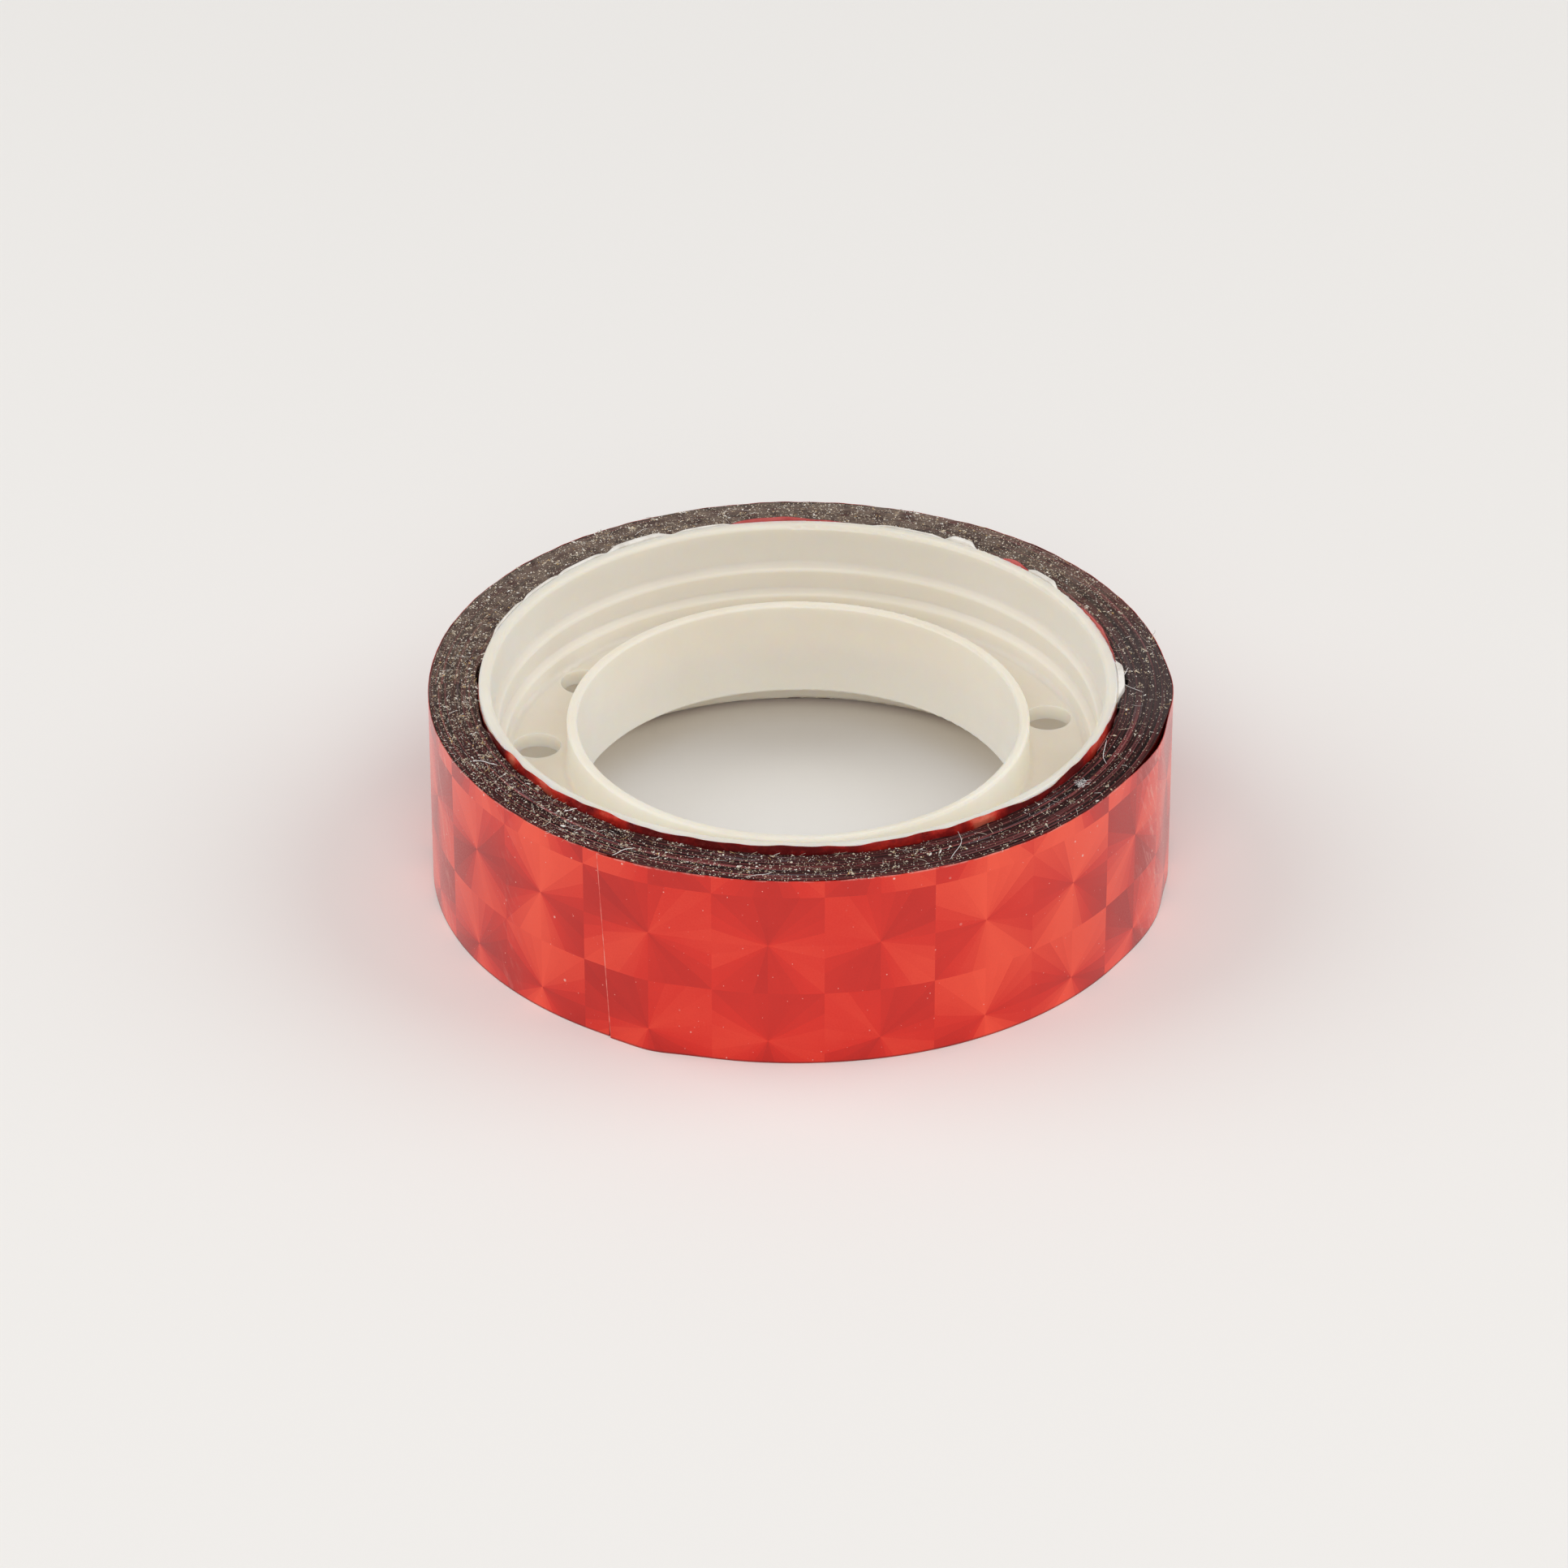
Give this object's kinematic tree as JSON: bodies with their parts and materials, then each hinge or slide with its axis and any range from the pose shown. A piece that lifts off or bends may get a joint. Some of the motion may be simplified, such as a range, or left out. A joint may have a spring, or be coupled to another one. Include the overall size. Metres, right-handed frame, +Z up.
{
  "type": "roll of tape",
  "caption": "Small roll of red metallic film tape wound on a white moulded core with a rim, web and hub; its free end peels up from the roll.",
  "frame": {"origin": "on the spindle bore's axis, in the plane of the winding's lower side face", "axes": "+Z up along the spindle bore's axis; -Y towards the side where the tape's free end lies"},
  "size_m": [0.0424, 0.0424, 0.0125],
  "materials": {
    "core_plastic": "smooth white polystyrene, slightly translucent",
    "tape_side": "dark wound tape edges with dust and lint",
    "tape_film": "red metallised film with an embossed facet pattern"
  },
  "bodies": {
    "roll": {"core": "core_plastic", "starter_turn": "tape_film", "wound_tape": "tape_side", "last_turn": "tape_film"},
    "free_end": {"tape_end": "tape_film"}
  },
  "joints": [
    {"name": "end_peel", "type": "hinge", "parent": "roll", "child": "free_end", "pos_m": [-0.00534, -0.02063, 0.006], "axis": [0, 0, 1], "range_deg": [0, 110]}
  ]
}
